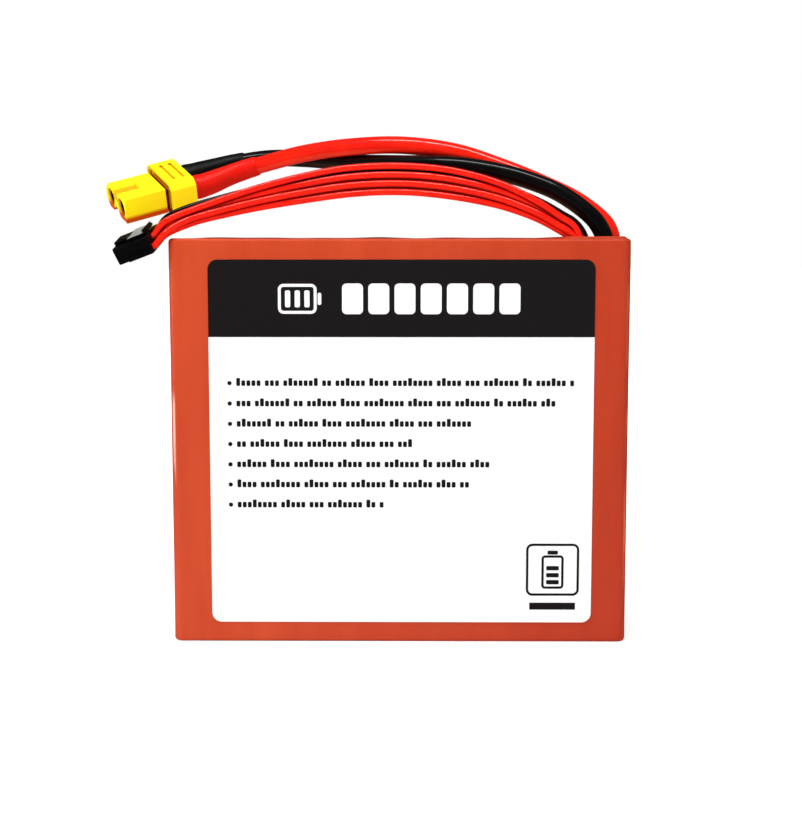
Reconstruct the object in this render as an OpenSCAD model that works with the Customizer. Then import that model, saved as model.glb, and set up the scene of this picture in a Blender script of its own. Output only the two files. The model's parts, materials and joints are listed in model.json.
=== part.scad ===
// Six-cell lithium-polymer battery pack. The pouch cells stand in a stack
// between stiff boards, inside a shrink sleeve. Two main leads arch over the
// top to a two-pole power plug, and a seven-wire balance lead arches in front
// of them to a small latching plug.
// +X is the pack's width, +Y its thickness away from the label, +Z its height.
// The origin is the centre of the pack's bottom face.

/* [Pack] */
// Width over the sleeve
pack_w = 115; // [113:0.5:117]
// Thickness over the sleeve
pack_d = 46; // [45:0.5:52]
// Height over the sleeve
pack_h = 102; // [98:1:120]
// Thickness of the shrink sleeve
sleeve_t = 0.4; // [0.3:0.05:0.6]
// Outside radius of the sleeve's upright corners
sleeve_r = 2.4; // [1.5:0.1:3]
// Width of the sleeve's lip folded over the top
sleeve_lip = 8; // [5:0.5:11]
// Thickness of the stiff boards around the cells
board_t = 1.2; // [0.8:0.1:1.6]

/* [Label] */
// Width of the label
label_w = 96; // [80:1:100]
// Height of the label
label_h = 91.6; // [70:0.2:94]
// Corner radius of the label
label_r = 2.4; // [1:0.2:6]
// Thickness of the label
label_t = 0.15; // [0.1:0.05:0.3]
// Distance of the label's centre from the middle of the pack
label_x = 0.5; // [-1:0.1:1]

/* [Cells] */
// Height of a cell's full body
cell_body_h = 84; // [70:1:84]
// Height of the thin sealed edge above a cell's body
cell_seal_h = 4.5; // [3.5:0.5:5]
// Thickness of the pads between cells
pad_t = 0.4; // [0.3:0.1:0.8]
// Width of a cell tab
tab_w = 12; // [8:1:14]
// Distance of a cell tab's centre from the middle of the pack
tab_x = 24; // [18:1:26]

/* [Leads] */
// Outside diameter of a main lead, insulation included
lead_od = 4.5; // [4:0.1:4.6]
// Diameter of a main lead's bundled strands
strand_od = 3; // [2:0.1:3.2]
// Outside diameter of a balance wire
thin_od = 1.65; // [1.4:0.05:1.7]
// Length of the shrink tube on each main lead at the plug
tube_len = 19; // [12:1:20]
// Largest spread of the balance wires, centre to centre
fan_spread = 6.4; // [5.4:0.2:6.8]

/* [Power plug] */
// Distance between the two contacts
contact_pitch = 7.2; // [7:0.1:7.4]
// Bore of a contact's socket
contact_bore = 3.5; // [3:0.1:3.6]
// Outside diameter of a contact
contact_od = 4.4; // [4.2:0.1:4.5]
// Length of the plug's nose, from its mouth to the cap
nose_len = 12; // [11:0.5:13]
// Length of the plug's cap
cap_len = 7.6; // [7:0.2:9]

/* [Balance plug] */
// Distance between the balance plug's contacts along its rows
bal_pitch = 2.3; // [2.2:0.05:2.4]
// Distance between the balance plug's rows
bal_row = 1.95; // [1.8:0.05:2.1]
// Length of the balance plug's housing
bal_len = 9.8; // [9.4:0.2:11]

/* [Hidden] */
$fn = 48;

inner_w = pack_w - 2 * sleeve_t - 2 * board_t;
inner_d = pack_d - 2 * sleeve_t - 2 * board_t;
board_gap = 0.8;
board_bottom = sleeve_t + board_t;
board_top = pack_h - sleeve_t - board_t;

// Cell stack
cell_count = 6;
tape_t = 0.15;
tape_gap = 0.05;
touch_gap = 0.02;
cell_z = board_bottom + 0.8;
cell_step = (inner_d - 2 * (tape_t + tape_gap) + pad_t) / cell_count;
cell_t = cell_step - pad_t - 2 * touch_gap;
cell_w = inner_w - 2 * (tape_t + tape_gap);
seam_t = 0.9;
seam_d = 2.8;
seal_t = 0.8;
seal_z = cell_z + cell_body_h;
tab_t = 0.3;
tab_bite = 3;
function cell_y(i) = (i - (cell_count - 1) / 2) * cell_step;

// Tab board
pcb_t = 1.2;
pcb_z = seal_z + cell_seal_h + 1.4;
pcb_top = pcb_z + pcb_t;
pcb_w = 108;
pcb_d = 42;
pad_metal = 0.1;
fold_len = 3;
pad_start = 0.7;
pad_reach = 2.4;

// Where the leads leave the pack
positive_y = -9.2;
negative_y = -13.9;
balance_y = -18.7;
lead_level = pcb_top + 0.25 + lead_od / 2;
right_x = pack_w / 2 - sleeve_t;
balance_x = right_x - 11.3;
exit_inset = 0.5;
exit_w = 15.8;
exit_d = 16;

// Hinge lines of the two leads, just above the pack's top
main_hinge = [right_x - 4.2, 0, pack_h + 1.8];
balance_hinge = [right_x - 12, 0, pack_h + 1.6];
main_gap = 2.6;
balance_gap = 3.3;
plug_gap = 1.1;

// Power plug: its own Z axis points out of the mouth, and its X axis runs
// from the negative contact to the positive one
plug_turn = [106.8, 24.4, -55.4];
plug_mouth = [-pack_w / 2 - 17, 0, pack_h + 9.6];
nose_size = [13.6, 6.8];
cap_size = [16.4, 9.2];
cap_wall = 0.8;
block_size = [14.4, 7.2];
block_back = nose_len + 3.4;
plug_back = nose_len + cap_len;
contact_back = block_back + 2.2;
socket_len = 11;
neck_front = -nose_len + 0.5;
neck_back = -nose_len - 1.4;
groove_len = 6.4;
groove_w = 3.4;
tube_inner = lead_od / 2 + 0.05;
tube_r_plug = 3.1;
tube_r_lead = 2.65;

// Balance plug: its own Z axis points out of the mouth
bal_turn = [110.7, 19.6, -97.8];
bal_mouth = [-pack_w / 2 - 11.8, -19.25, pack_h - 3.1];
bal_cols = 4;
bal_rows = 2;
bal_w = bal_cols * bal_pitch + 0.8;
bal_h = bal_rows * bal_row + 0.5;
terminal_len = 7;
latch_axis_z = -bal_len * 0.55;
latch_rise = 0.4;
latch_t = 0.5;
ridge_r = 0.35;

// ---- Vectors and curves -------------------------------------------------

function unit(v) = v / norm(v);
function turn_x(v, a) = [v.x, v.y * cos(a) - v.z * sin(a), v.y * sin(a) + v.z * cos(a)];
function turn_y(v, a) = [v.x * cos(a) + v.z * sin(a), v.y, v.z * cos(a) - v.x * sin(a)];
function turn_z(v, a) = [v.x * cos(a) - v.y * sin(a), v.x * sin(a) + v.y * cos(a), v.z];
function placed(v, turn, at) = turn_z(turn_y(turn_x(v, turn.x), turn.y), turn.z) + at;
function on_plug(v) = placed(v, plug_turn, plug_mouth);
function on_balance(v) = placed(v, bal_turn, bal_mouth);
function smooth(t) = let (s = min(max(t, 0), 1)) s * s * (3 - 2 * s);

// A smooth curve through points, with n steps from each point to the next
function curve_point(a, b, c, d, t) =
    0.5 * (2 * b + (c - a) * t + (2 * a - 5 * b + 4 * c - d) * t * t
    + (3 * b - a - 3 * c + d) * t * t * t);
function curve(p, n) = let (last = len(p) - 1) [
    for (i = [0 : last - 1], k = [0 : n - 1])
        curve_point(i == 0 ? 2 * p[0] - p[1] : p[i - 1], p[i], p[i + 1],
            i + 2 > last ? 2 * p[last] - p[last - 1] : p[i + 2], k / n),
    p[last]];

// The parts of a path before and after the turning point h, each stopping a gap short of it
function nearest(path, h) = let (d = [for (p = path) norm(p - h)], m = min(d))
    [for (i = [0 : len(d) - 1]) if (d[i] == m) i][0];
function before(path, h, gap) = let (k = nearest(path, h))
    [for (i = [0 : k]) if (norm(path[i] - h) > gap) path[i]];
function after(path, h, gap) = let (k = nearest(path, h))
    [for (i = [k : len(path) - 1]) if (norm(path[i] - h) > gap) path[i]];
function along(path) = [for (i = 0, s = 0; i < len(path);
    i = i + 1, s = i < len(path) ? s + norm(path[i] - path[i - 1]) : s) s];

// Points of a ring about path[i], square to the path
function heading(path, i) = unit(path[min(i + 1, len(path) - 1)] - path[max(i - 1, 0)]);
function ring(path, i, r, sides) = let (
    t = heading(path, i),
    u = unit(cross(t, [0, 1, 0])),
    v = cross(u, t))
    [for (k = [0 : sides - 1]) path[i] + r * (cos(360 * k / sides) * u + sin(360 * k / sides) * v)];

// ---- Shared shapes ------------------------------------------------------

module rod(path, r, sides = 16) {
    n = len(path);
    points = [for (i = [0 : n - 1]) each ring(path, i, r, sides)];
    faces = [
        [for (k = [0 : sides - 1]) k],
        for (i = [0 : n - 2], k = [0 : sides - 1]) let (
            a = i * sides + k, b = i * sides + (k + 1) % sides)
            [a, a + sides, b + sides, b],
        [for (k = [sides - 1 : -1 : 0]) (n - 1) * sides + k]];
    polyhedron(points, faces, convexity = 10);
}

// A tube along a path, with its outer radius running from r0 to r1
module tube(path, r0, r1, bore, sides = 20) {
    n = len(path);
    outer = [for (i = [0 : n - 1]) each ring(path, i, r0 + (r1 - r0) * smooth(i / (n - 1)), sides)];
    inner = [for (i = [0 : n - 1]) each ring(path, i, bore, sides)];
    m = n * sides;
    faces = [
        for (i = [0 : n - 2], k = [0 : sides - 1]) let (
            a = i * sides + k, b = i * sides + (k + 1) % sides)
            each [[a, a + sides, b + sides, b], [m + a, m + b, m + b + sides, m + a + sides]],
        for (k = [0 : sides - 1]) let (j = (k + 1) % sides, e = (n - 1) * sides)
            each [[k, j, m + j, m + k], [e + j, e + k, m + e + k, m + e + j]]];
    polyhedron(concat(outer, inner), faces, convexity = 10);
}

module rounded_rect(size, r) {
    square([size.x - 2 * r, size.y], center = true);
    square([size.x, size.y - 2 * r], center = true);
    for (sx = [-1, 1], sy = [-1, 1])
        translate([sx * (size.x / 2 - r), sy * (size.y / 2 - r)]) circle(r);
}

module slab(size, r) linear_extrude(size.z) rounded_rect(size, r);

module cut_rect(size, c) polygon([
    [c - size.x / 2, -size.y / 2], [size.x / 2 - c, -size.y / 2], [size.x / 2, c - size.y / 2],
    [size.x / 2, size.y / 2 - c], [size.x / 2 - c, size.y / 2], [c - size.x / 2, size.y / 2],
    [-size.x / 2, size.y / 2 - c], [-size.x / 2, c - size.y / 2]]);

module exit_corner(h) translate([right_x - exit_inset - exit_w, -pack_d / 2 + exit_inset, 0])
    translate([exit_w / 2, exit_d / 2, 0]) slab([exit_w, exit_d, h], 1.5);

module at_plug() translate(plug_mouth) rotate(plug_turn) children();
module at_balance() translate(bal_mouth) rotate(bal_turn) children();

// ---- Sleeve, label and boards -------------------------------------------

module shrink_sleeve() color([0.85, 0.29, 0.15]) difference() {
    slab([pack_w, pack_d, pack_h], sleeve_r);
    translate([0, 0, sleeve_t])
        slab([pack_w - 2 * sleeve_t, pack_d - 2 * sleeve_t, pack_h - 2 * sleeve_t], sleeve_r - sleeve_t);
    translate([0, 0, pack_h - sleeve_t - 0.1]) {
        slab([pack_w - 2 * sleeve_lip, pack_d - 2 * sleeve_lip, 1], 4);
        exit_corner(1);
    }
}

module front_label() color("white")
    translate([label_x, -pack_d / 2, pack_h / 2]) rotate([90, 0, 0])
        slab([label_w, label_h, label_t], label_r);

// A board lying against the inside of the sleeve's front or back wall
module wide_board(y) color([0.75, 0.68, 0.5])
    translate([0, y, board_bottom + 0.1]) translate([0, 0, (board_top - board_bottom - 0.2) / 2])
        rotate([90, 0, 0]) translate([0, 0, -board_t / 2])
            slab([pack_w - 2 * sleeve_t - 4.4, board_top - board_bottom - 0.2, board_t], 1);

module side_board(x, h) color([0.75, 0.68, 0.5])
    translate([x, 0, board_bottom + 0.1 + h / 2]) rotate([90, 0, 90]) translate([0, 0, -board_t / 2])
        slab([inner_d - 2 * board_gap, h, board_t], 1);

module front_board() wide_board(-pack_d / 2 + sleeve_t + board_t / 2);
module back_board() wide_board(pack_d / 2 - sleeve_t - board_t / 2);
module left_board() side_board(-pack_w / 2 + sleeve_t + board_t / 2, board_top - board_bottom - 0.2);
module right_board() side_board(pack_w / 2 - sleeve_t - board_t / 2, cell_body_h);
module bottom_board() color([0.75, 0.68, 0.5])
    translate([0, 0, sleeve_t]) slab([pack_w - 2 * sleeve_t - 0.8, pack_d - 2 * sleeve_t - 0.8, board_t], 1.6);
module top_board() color([0.75, 0.68, 0.5]) difference() {
    translate([0, 0, board_top]) slab([pack_w - 2 * sleeve_t - 0.8, pack_d - 2 * sleeve_t - 0.8, board_t], 1.6);
    translate([0, 0, board_top - 1]) exit_corner(board_t + 2);
}
module insulating_sheet() color([0.55, 0.62, 0.6]) difference() {
    translate([0, 0, board_top - 0.4]) slab([pcb_w, pcb_d, 0.3], 1);
    translate([0, 0, board_top - 2]) exit_corner(3);
}

// ---- Cells --------------------------------------------------------------

// Polarity alternates along the stack, so neighbours join in series
function tab_side(i, positive) = (i % 2 == 0) == positive ? -1 : 1;

module tab_bar(h) translate([-tab_w / 2, -tab_t / 2, 0]) cube([tab_w, tab_t, h]);

module pouch_cell(i) color([0.74, 0.76, 0.78]) translate([0, cell_y(i), cell_z]) difference() {
    union() {
        slab([cell_w - 2 * seam_t, cell_t, cell_body_h], 2);
        for (s = [-1, 1]) translate([s * (cell_w / 2 - seam_t / 2 - touch_gap), 0, 2])
            slab([seam_t, seam_d, cell_body_h - 4], 0.4);
        translate([-cell_w / 2 + 3, -seal_t / 2, 0]) cube([cell_w - 6, seal_t, cell_body_h + cell_seal_h]);
    }
    for (s = [-1, 1]) translate([s * tab_x, 0, cell_body_h + cell_seal_h - tab_bite]) tab_bar(tab_bite + 1);
}

module cell_1() pouch_cell(0);
module cell_2() pouch_cell(1);
module cell_3() pouch_cell(2);
module cell_4() pouch_cell(3);
module cell_5() pouch_cell(4);
module cell_6() pouch_cell(5);

module cell_pads() color([0.9, 0.9, 0.86]) for (i = [0 : cell_count - 2])
    translate([0, cell_y(i) + cell_step / 2, cell_z + 6]) translate([0, 0, (cell_body_h - 12) / 2])
        rotate([90, 0, 0]) translate([0, 0, -pad_t / 2]) slab([cell_w - 16, cell_body_h - 12, pad_t], 2);

// A tab runs from the cell's sealed edge up through the board and folds over its pad
module cell_tab(i, positive) {
    side = tab_side(i, positive);
    fold = side * (i % 2 == 0 ? 1 : -1);
    base = seal_z + cell_seal_h - tab_bite;
    translate([side * tab_x, cell_y(i), base]) {
        tab_bar(pcb_top + pad_metal + tab_t - base);
        translate([-tab_w / 2, fold > 0 ? 0 : -fold_len, pcb_top + pad_metal - base])
            cube([tab_w, fold_len, tab_t]);
    }
}
module positive_tabs() color([0.84, 0.84, 0.86]) for (i = [0 : cell_count - 1]) cell_tab(i, true);
module negative_tabs() color([0.72, 0.7, 0.66]) for (i = [0 : cell_count - 1]) cell_tab(i, false);

module stack_tape() color([0.8, 0.55, 0.15]) for (z = [22, 62]) translate([0, 0, cell_z + z]) difference() {
    slab([cell_w + 2 * tape_t, inner_d - 2 * tape_gap, 12], 2);
    translate([0, 0, -1]) slab([cell_w, inner_d - 2 * tape_gap - 2 * tape_t, 14], 1.85);
}

// ---- Tab board ----------------------------------------------------------

main_pads = [[38, positive_y], [38, negative_y]];
pad_places = [[1.5, -1], [0.5, -1], [1, 1], [0, 1], [-0.5, -1], [-1, 1], [-1.5, -1]];
balance_pads = [for (p = pad_places) [balance_x + 0.6 + p.x * 2.3, balance_y + p.y * 1.1]];

module tab_board() color([0.1, 0.35, 0.2]) difference() {
    translate([0, 0, pcb_z]) slab([pcb_w, pcb_d, pcb_t], 1);
    for (i = [0 : cell_count - 1], s = [-1, 1])
        translate([s * tab_x, cell_y(i), pcb_z - 1]) translate([-tab_w / 2 - 0.5, -0.5, 0])
            cube([tab_w + 1, 1, pcb_t + 2]);
}

module board_pads() color([0.8, 0.5, 0.3]) translate([0, 0, pcb_top]) {
    for (i = [0 : cell_count - 1], s = [-1, 1]) {
        fold = s * (i % 2 == 0 ? 1 : -1);
        translate([s * tab_x - tab_w / 2, cell_y(i) + (fold > 0 ? pad_start : -pad_start - pad_reach), 0])
            cube([tab_w, pad_reach, pad_metal]);
    }
    for (p = main_pads) translate([p.x - 4, p.y - 2, 0]) cube([8, 4, pad_metal]);
    for (p = balance_pads) translate([p.x, p.y, 0]) cylinder(r = 0.95, h = pad_metal);
}

module solder_joints() color([0.8, 0.8, 0.82]) {
    floor_z = pcb_top + pad_metal;
    for (p = main_pads) difference() {
        translate([p.x, p.y, floor_z]) slab([7, 4, lead_level - floor_z + 0.5], 1);
        translate([p.x - 5, p.y, lead_level]) rotate([0, 90, 0]) cylinder(r = strand_od / 2, h = 10);
    }
    for (p = balance_pads) translate([p.x, p.y, floor_z]) difference() {
        cylinder(r1 = 0.9, r2 = 0.7, h = 0.8);
        translate([0, 0, -1]) cylinder(r = 0.4, h = 3);
    }
}

// ---- Main leads ---------------------------------------------------------

// The positive lead: off the board, round the bend to the exit, over the arch and
// down to the plug. Offsets are from the pack's right-hand top edge.
function from_exit(p) = [right_x + p.x, p.y, pack_h + p.z];
positive_knots = [
    for (p = [[-14.5, positive_y, lead_level - pack_h], [-8, positive_y, lead_level - pack_h],
        [-4.1, positive_y, -3.3], [-3, positive_y, -0.4],
        [-4.9, positive_y, 4.2], [-12, positive_y, 9.7], [-21, positive_y, 14],
        [-31, -9, 18], [-43, -7, 22], [-56.5, -3.4, 24], [-70, 1.4, 23.9],
        [-82, 6, 22.6], [-92.5, 9.8, 20.3], [-101, 11, 17.8]]) from_exit(p),
    on_plug([contact_pitch / 2, 0, -plug_back - 5]),
    on_plug([contact_pitch / 2, 0, -plug_back]),
    on_plug([contact_pitch / 2, 0, -contact_back - 0.1])];
negative_knots = [
    for (p = [[-14.5, negative_y, lead_level - pack_h], [-9.5, negative_y, lead_level - pack_h],
        [-6, negative_y, -3], [-5.5, negative_y, 0.2],
        [-8.5, negative_y, 5.3], [-16.2, negative_y, 11], [-24.2, negative_y, 14.4],
        [-33, -13.4, 16.8], [-44, -10.4, 18.6], [-57, -4, 19.2], [-70, 4.6, 20],
        [-82, 11.6, 21.4], [-93, 15.9, 21.8], [-103, 16.9, 20.3]]) from_exit(p),
    on_plug([-contact_pitch / 2, 0, -plug_back - 4]),
    on_plug([-contact_pitch / 2, 0, -plug_back]),
    on_plug([-contact_pitch / 2, 0, -contact_back - 0.1])];
lead_steps = 6;
positive_path = curve(positive_knots, lead_steps);
negative_path = curve(negative_knots, lead_steps);

// Where each lead crosses its hinges
function at_hinge(path, h) = let (
    d = [for (p = path) norm([p.x - h.x, 0, p.z - h.z])], m = min(d))
    [for (i = [0 : len(d) - 1]) if (d[i] == m) path[i]][0];
positive_exit = at_hinge(positive_path, main_hinge);
negative_exit = at_hinge(negative_path, main_hinge);
function point_back(path, far) = let (
    s = along(path), total = s[len(s) - 1], k = [for (i = [0 : len(s) - 1]) if (total - s[i] >= far) i])
    path[k[len(k) - 1]];
bend_back = plug_back - contact_back + tube_len + plug_gap;
positive_bend = point_back(positive_path, bend_back);
negative_bend = point_back(negative_path, bend_back);

module red_rod(path) color([1, 0.1, 0]) rod(path, lead_od / 2);
module black_rod(path) color([0.06, 0.06, 0.06]) rod(path, lead_od / 2);

module positive_lead_root() red_rod(before(positive_path, positive_exit, main_gap));
module negative_lead_root() black_rod(before(negative_path, negative_exit, main_gap));
module positive_lead() red_rod(before(after(positive_path, positive_exit, main_gap), positive_bend, plug_gap));
module negative_lead() black_rod(before(after(negative_path, negative_exit, main_gap), negative_bend, plug_gap));
module positive_lead_end() red_rod(after(positive_path, positive_bend, plug_gap));
module negative_lead_end() black_rod(after(negative_path, negative_bend, plug_gap));

module lead_strands() color([0.8, 0.8, 0.82]) for (y = [positive_y, negative_y])
    translate([main_pads[0].x - 3.5, y, lead_level]) rotate([0, 90, 0])
        cylinder(r = strand_od / 2, h = positive_knots[0].x - main_pads[0].x + 3.3);

// ---- Power plug ---------------------------------------------------------

function tube_path(path, side) = concat(
    after(path, side > 0 ? positive_bend : negative_bend, plug_gap + 0.1),
    [on_plug([side * contact_pitch / 2, 0, -block_back - 0.2])]);
module positive_shrink_tube() color([0.95, 0.1, 0.05]) tube(tube_path(positive_path, 1), tube_r_lead, tube_r_plug, tube_inner);
module negative_shrink_tube() color([0.05, 0.05, 0.05]) tube(tube_path(negative_path, -1), tube_r_lead, tube_r_plug, tube_inner);

// The nose's outline: square on the positive side, with cut corners on the negative side
module nose_outline(size, cut) polygon([
    [size.x / 2, -size.y / 2], [size.x / 2, size.y / 2], [cut - size.x / 2, size.y / 2],
    [-size.x / 2, size.y / 2 - cut], [-size.x / 2, cut - size.y / 2], [cut - size.x / 2, -size.y / 2]]);

module plug_housing() color([1, 0.9, 0.05]) at_plug() difference() {
    union() {
        translate([0, 0, neck_front]) linear_extrude(-neck_front) nose_outline(nose_size, 2);
        translate([0, 0, neck_back]) linear_extrude(neck_front - neck_back) nose_outline(nose_size - [1.2, 1.2], 1.5);
        translate([0, 0, -block_back]) linear_extrude(block_back + neck_back) cut_rect(block_size, 1);
    }
    for (s = [-1, 1]) translate([s * contact_pitch / 2, 0, 0]) {
        translate([0, 0, -block_back - 1]) cylinder(r = contact_od / 2 + 0.05, h = block_back + 2);
        translate([0, 0, -1.6]) cylinder(r = contact_od / 2 + 0.25, h = 2);
    }
    for (s = [-1, 1]) translate([0, s * nose_size.y / 2, -groove_len]) rotate(45)
        translate([-groove_w / 2, -groove_w / 2, 0]) cube([groove_w, groove_w, groove_len + 1]);
}

module plug_cap() color([1, 0.88, 0.05]) at_plug() difference() {
    translate([0, 0, -plug_back]) linear_extrude(cap_len - 0.5) cut_rect(cap_size, 1.5);
    translate([0, 0, -plug_back + 1]) linear_extrude(cap_len) cut_rect(cap_size - [2, 2] * cap_wall, 1);
    for (s = [-1, 1]) translate([s * contact_pitch / 2, 0, -plug_back - 1]) cylinder(r = tube_r_plug + 0.1, h = 3);
    for (s = [-1, 1], z = [1.6, 4.2]) translate([-4.8, s * cap_size.y / 2 - 0.5, -plug_back + z]) cube([9.6, 1, 0.9]);
}

module contact(side) color([0.9, 0.7, 0.3]) at_plug() translate([side * contact_pitch / 2, 0, 0]) difference() {
    translate([0, 0, -contact_back]) cylinder(r = contact_od / 2, h = contact_back - 0.6);
    translate([0, 0, -0.6 - socket_len]) cylinder(r = contact_bore / 2, h = socket_len + 1);
    translate([0, 0, -contact_back - 1]) cylinder(r = strand_od / 2 + 0.05, h = contact_back - socket_len - 1.2);
}
module positive_contact() contact(1);
module negative_contact() contact(-1);

module plug_strands() color([0.8, 0.8, 0.82]) at_plug() for (s = [-1, 1])
    translate([s * contact_pitch / 2, 0, -contact_back - 0.1])
        cylinder(r = strand_od / 2, h = contact_back - socket_len - 2.4);

// ---- Balance lead -------------------------------------------------------

tail_level = pcb_top + pad_metal + 1.4;

// Middle of the bundle, from the board to the plug
balance_knots = [
    [balance_x + 0.6, balance_y, tail_level], [balance_x + 0.6, balance_y, tail_level + 3.4],
    [balance_x + 0.3, balance_y, pack_h + 0.4],
    for (p = [[-16.8, -19, 3.9], [-23.6, -19.2, 7.6], [-33, -19.4, 11.1], [-45, -19.6, 13.6],
        [-57, -19.6, 14.6], [-69.5, -19.6, 14.1], [-82, -19.6, 12.2], [-93.5, -19.6, 9.9],
        [-103, -19.7, 7.5], [-109.4, -20.1, 5.6], [-114.6, -21, 3.2]]) from_exit(p),
    on_balance([0, 0, -bal_len - 0.4])];
balance_steps = 4;
balance_path = curve(balance_knots, balance_steps);
balance_span = len(balance_path) - 1;

// Each wire's place in the bundle's section, as [along Y, away from the pack].
// The bundle is round at the ends and opens into a two-deep fan in the middle.
round_step = 1.95;
plug_flare = 0.2;
round_places = [[0, 1], [-0.866, 0.5], [0.866, 0.5], [0, 0], [-0.866, -0.5], [0.866, -0.5], [0, -1]];
fan_places = [[0.5, 1], [-0.5, 1.5], [0.5, 0], [-0.5, 0.5], [-0.5, -0.5], [0.5, -1], [-0.5, -1.5]];
function fan_open(t) = smooth((t - 0.2) / 0.25) * smooth((0.86 - t) / 0.3);
function wire_place(w, t) = let (
    a = round_places[w] * round_step,
    b = [fan_places[w].x * round_step, fan_places[w].y * fan_spread / 3])
    a + (b - a) * fan_open(t);
function wire_offset(w, i) = let (
    p = wire_place(w, i / balance_span),
    outward = unit(cross([0, 1, 0], heading(balance_path, i))),
    bundled = p.x * [0, 1, 0] + p.y * outward,
    padded = [balance_pads[w].x, balance_pads[w].y, 0] - [balance_knots[0].x, balance_knots[0].y, 0],
    plugged = on_balance(cavity(w)) - bal_mouth,
    near_plug = smooth((i - balance_span + 8) / 8))
    bundled + (padded - bundled) * (1 - smooth(i / 5))
    + (plugged - bundled) * near_plug + plug_flare * sin(180 * near_plug) * unit(plugged);
function wire_path(w) = concat(
    [for (i = [0 : balance_span]) balance_path[i] + wire_offset(w, i)],
    [on_balance(cavity(w) + [0, 0, -terminal_len - 0.1])]);

// Each wire's cavity in the balance plug: [column, row], three above and four below
wire_cavity = [[-0.5, 0.5], [0.5, 0.5], [-1.5, 0.5], [-0.5, -0.5], [1.5, -0.5], [-1.5, -0.5], [0.5, -0.5]];
spare_cavity = [1.5, 0.5];
function in_plug(c) = [c.x * bal_pitch, c.y * bal_row, 0];
function cavity(w) = in_plug(wire_cavity[w]);

wire_exit = [for (w = [0 : 6]) at_hinge(wire_path(w), balance_hinge)];
module thin_rod(path, w) color(w == 0 ? [0.06, 0.06, 0.06] : [1, 0.12, 0]) rod(path, thin_od / 2, 10);
module balance_wire(w) thin_rod(after(wire_path(w), wire_exit[w], balance_gap), w);
module balance_wire_1() balance_wire(0);
module balance_wire_2() balance_wire(1);
module balance_wire_3() balance_wire(2);
module balance_wire_4() balance_wire(3);
module balance_wire_5() balance_wire(4);
module balance_wire_6() balance_wire(5);
module balance_wire_7() balance_wire(6);

// Inside the pack each wire drops to its own pad
module balance_roots() for (w = [0 : 6]) thin_rod(before(wire_path(w), wire_exit[w], balance_gap), w);
module balance_tails() color([0.8, 0.8, 0.82]) for (p = balance_pads)
    translate([p.x, p.y, pcb_top + pad_metal]) cylinder(r = 0.4, h = tail_level - pcb_top - pad_metal - 0.05);

module balance_terminals() color([0.85, 0.75, 0.5]) at_balance() for (w = [0 : 6]) translate(cavity(w))
    difference() {
        translate([-0.6, -0.6, -terminal_len]) cube([1.2, 1.2, terminal_len - 1]);
        translate([-0.35, -0.35, -4.5]) cube([0.7, 0.7, 5]);
    }

module balance_housing() color([0.05, 0.05, 0.05]) at_balance() difference() {
    union() {
        translate([0, 0, -bal_len]) linear_extrude(bal_len) cut_rect([bal_w, bal_h], 0.4);
        for (s = [-1, 1]) translate([s * (bal_w / 2 + 0.3) - 0.3, -bal_h / 2, -bal_len]) cube([0.6, 1.2, bal_len - 3]);
        translate([-bal_w * 0.3, bal_h / 2, latch_axis_z]) rotate([0, 90, 0])
            cylinder(r = ridge_r, h = bal_w * 0.6);
    }
    for (w = [0 : 6]) translate(cavity(w)) {
        translate([-0.62, -0.62, -terminal_len]) cube([1.24, 1.24, terminal_len + 1]);
        translate([0, 0, -bal_len - 1]) cylinder(r = thin_od / 2 + 0.03, h = bal_len - terminal_len + 1);
    }
    translate(in_plug(spare_cavity)) translate([-0.62, -0.62, -terminal_len])
        cube([1.24, 1.24, terminal_len + 1]);
}

// A rocking latch: the thumb end is pressed to lift the hook at the mouth
module balance_latch() color([0.2, 0.2, 0.2]) at_balance() translate([0, bal_h / 2, latch_axis_z]) difference() {
    union() {
        translate([-bal_w * 0.26, latch_rise, -3.6]) cube([bal_w * 0.52, latch_t, 8.8]);
        translate([-bal_w * 0.4, latch_rise, -3.6]) cube([bal_w * 0.8, latch_t, 4.8]);
        translate([-bal_w * 0.3, latch_rise + 0.2, -4]) rotate([20, 0, 0]) cube([bal_w * 0.6, 1.1, 0.7]);
        translate([-bal_w * 0.26, 0.08, 4.4]) cube([bal_w * 0.52, latch_rise, 0.8]);
    }
    translate([-bal_w, 0, 0]) rotate([0, 90, 0]) cylinder(r = ridge_r + 0.06, h = 2 * bal_w);
}

shrink_sleeve();
front_label();
front_board();
back_board();
left_board();
right_board();
bottom_board();
top_board();
insulating_sheet();
stack_tape();
cell_1();
cell_2();
cell_3();
cell_4();
cell_5();
cell_6();
cell_pads();
positive_tabs();
negative_tabs();
tab_board();
board_pads();
solder_joints();
lead_strands();
positive_lead_root();
negative_lead_root();
balance_roots();
balance_tails();
positive_lead();
negative_lead();
positive_lead_end();
negative_lead_end();
positive_shrink_tube();
negative_shrink_tube();
plug_strands();
plug_housing();
plug_cap();
positive_contact();
negative_contact();
balance_wire_1();
balance_wire_2();
balance_wire_3();
balance_wire_4();
balance_wire_5();
balance_wire_6();
balance_wire_7();
balance_terminals();
balance_housing();
balance_latch();
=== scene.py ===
"""Looks for a box-shaped lithium-polymer battery pack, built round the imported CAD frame.

The sleeve, the label, the leads and the plugs are new meshes, placed from the CAD nodes' own
boxes, mounts and centre lines. What is inside the sleeve stays as CAD nodes with new materials.
Lengths are written in millimetres times MM, and everything in Blender is in metres.
"""

import json
import math

import bmesh
import bpy
import numpy as np
from mathutils import Matrix, Vector, noise


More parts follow.
